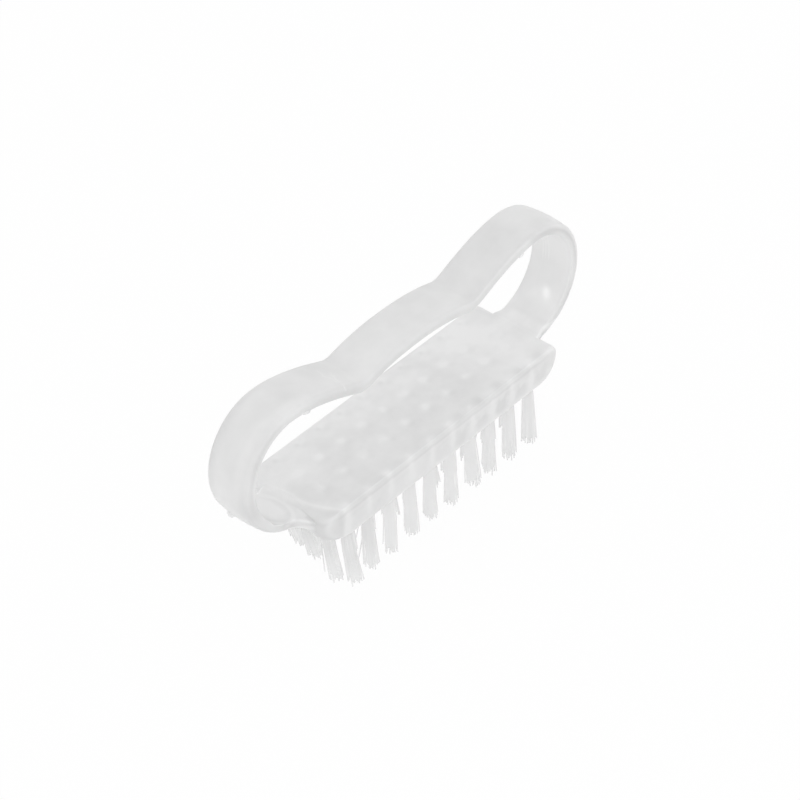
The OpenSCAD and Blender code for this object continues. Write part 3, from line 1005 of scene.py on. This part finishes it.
# Lamps: name, place and side length in metres, and power; they look at the middle of the brush
BRUSH_MIDDLE = np.array([0, 0, 17]) * mm
LAMPS = [
    ("key_lamp", (-0.05, -0.3, 0.6), 0.5, 0.38),
    ("fill_lamp", (-0.5, -0.35, 0.12), 0.4, 0.55),
]


def camera_matrix():
    """Camera axes from the azimuth, the height above the horizon and the roll, in degrees."""
    azimuth, height, roll = (math.radians(a) for a in CAMERA_TURN)
    s, c = math.sin(azimuth), math.cos(azimuth)
    back = np.array([s * math.cos(height), -c * math.cos(height), math.sin(height)])
    right = np.array([c, s, 0])
    up = np.cross(back, right)
    level_right = math.cos(roll) * right + math.sin(roll) * up
    level_up = math.cos(roll) * up - math.sin(roll) * right
    turned = np.eye(4)
    turned[:3, :3] = np.stack([level_right, level_up, back], axis=1)
    turned[:3, 3] = CAMERA_PLACE
    return Matrix(turned.tolist())


def plain_rays(graph):
    """1 for rays from the camera, a mirror reflection or a see-through surface, which see the plain
    background."""
    rays = graph.tree.nodes.new("ShaderNodeLightPath")
    camera, mirror, through = [Value(graph, rays.outputs[f"Is {kind} Ray"])
                               for kind in ("Camera", "Glossy", "Transmission")]
    return camera.math("MAXIMUM", mirror).math("MAXIMUM", through)


class NAILBRUSH_OT_stage(Operator):
    """Makes the pale floor, the plain room light, the soft lamps and the camera"""
    bl_idname = "nailbrush.stage"
    bl_label = "Stage"

    def execute(self, context):
        sizes = context.scene.nailbrush_stage
        self.make_floor(sizes)
        self.make_room(context, sizes)
        for name, place, size, power in LAMPS:
            self.make_lamp(context, name, place, size, power)
        lens = bpy.data.cameras.new("camera")
        lens.lens, lens.sensor_width = CAMERA_LENS, CAMERA_FILM
        lens.clip_start, lens.clip_end = 0.01, 10
        camera = bpy.data.objects.new("camera", lens)
        camera.matrix_world = camera_matrix()
        context.scene.collection.objects.link(camera)
        context.scene.camera = camera
        context.scene.view_settings.view_transform = "Standard"
        return {"FINISHED"}

    def make_floor(self, sizes):
        """Pale floor: for the rays that see the background most of it is plain, and the rest is lit and
        shaded."""
        material = bpy.data.materials.new("pale_floor")
        graph = Graph(material)
        lit = graph.node("ShaderNodeBsdfDiffuse", None, {"Color": rgba(FLOOR_GREY)})
        plain = graph.node("ShaderNodeEmission", None, {"Color": rgba(sizes.floor_color), "Strength": 1.0})
        share = plain_rays(graph) * sizes.floor_glow
        surface = graph.node("ShaderNodeMixShader", None, {0: share, 1: lit, 2: plain})
        graph.node("ShaderNodeOutputMaterial", None, {"Surface": surface})
        corners = FLOOR_HALF * np.array([[-1, -1, 0], [1, -1, 0], [1, 1, 0], [-1, 1, 0]])
        floor = add_piece("floor", corners, [[0, 1, 2, 3]], material)
        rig.stage(floor)

    def make_room(self, context, sizes):
        """Even light from all round, which the camera and reflections see as the plain background."""
        world = bpy.data.worlds.new("room")
        context.scene.world = world
        graph = Graph(world)
        room = graph.node("ShaderNodeBackground", None,
                          {"Color": rgba((1, 1, 1)), "Strength": sizes.room_strength})
        plain = graph.node("ShaderNodeBackground", None, {"Color": rgba(sizes.floor_color), "Strength": 1.0})
        surface = graph.node("ShaderNodeMixShader", None, {0: plain_rays(graph), 1: room, 2: plain})
        graph.node("ShaderNodeOutputWorld", None, {"Surface": surface})

    def make_lamp(self, context, name, place, size, power):
        """Square soft lamp that looks at the middle of the brush: its back axis points from there to its
        place, and its right axis is level."""
        light = bpy.data.lights.new(name, "AREA")
        light.size, light.energy = size, power
        lamp = bpy.data.objects.new(name, light)
        back = np.array(place) - BRUSH_MIDDLE
        back /= np.linalg.norm(back)
        right = np.cross([0, 0, 1.0], back)
        right /= np.linalg.norm(right)
        turned = np.eye(4)
        turned[:3, :3] = np.stack([right, np.cross(back, right), back], axis=1)
        turned[:3, 3] = place
        lamp.matrix_world = Matrix(turned.tolist())
        context.scene.collection.objects.link(lamp)


class NAILBRUSH_PT_sidebar(Panel):
    """Lists the brush's pieces and their sizes in the 3D view's sidebar"""
    bl_label = "Nail brush"
    bl_space_type = "VIEW_3D"
    bl_region_type = "UI"
    bl_category = "Nail brush"

    def draw(self, context):
        scene = context.scene
        for operator, group in ((NAILBRUSH_OT_body, scene.nailbrush_body),
                                (NAILBRUSH_OT_bristles, scene.nailbrush_bristles),
                                (NAILBRUSH_OT_wires, None),
                                (NAILBRUSH_OT_stage, scene.nailbrush_stage)):
            box = self.layout.box()
            box.operator(operator.bl_idname)
            for name in (group.bl_rna.properties.keys() if group else []):
                if name not in {"rna_type", "name"}:
                    box.prop(group, name)


CLASSES = (NAILBRUSH_PG_body, NAILBRUSH_PG_bristles, NAILBRUSH_PG_stage,
           NAILBRUSH_OT_body, NAILBRUSH_OT_bristles, NAILBRUSH_OT_wires, NAILBRUSH_OT_stage,
           NAILBRUSH_PT_sidebar)
GROUPS = {"nailbrush_body": NAILBRUSH_PG_body, "nailbrush_bristles": NAILBRUSH_PG_bristles,
          "nailbrush_stage": NAILBRUSH_PG_stage}


def register():
    for made in CLASSES:
        bpy.utils.register_class(made)
    for name, group in GROUPS.items():
        setattr(bpy.types.Scene, name, PointerProperty(type=group))


def unregister():
    for name in GROUPS:
        delattr(bpy.types.Scene, name)
    for made in reversed(CLASSES):
        bpy.utils.unregister_class(made)


def main():
    """Makes the whole scene and writes the model's box before and after."""
    register()
    bpy.ops.nailbrush.body()
    bpy.ops.nailbrush.bristles()
    bpy.ops.nailbrush.wires()
    bpy.ops.nailbrush.stage()
    with open(SIZE_FILE, "w") as file:
        json.dump({"cad": START_BOX, "visual": [list(corner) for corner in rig.bounds()]}, file)


if __name__ == "__main__":
    main()
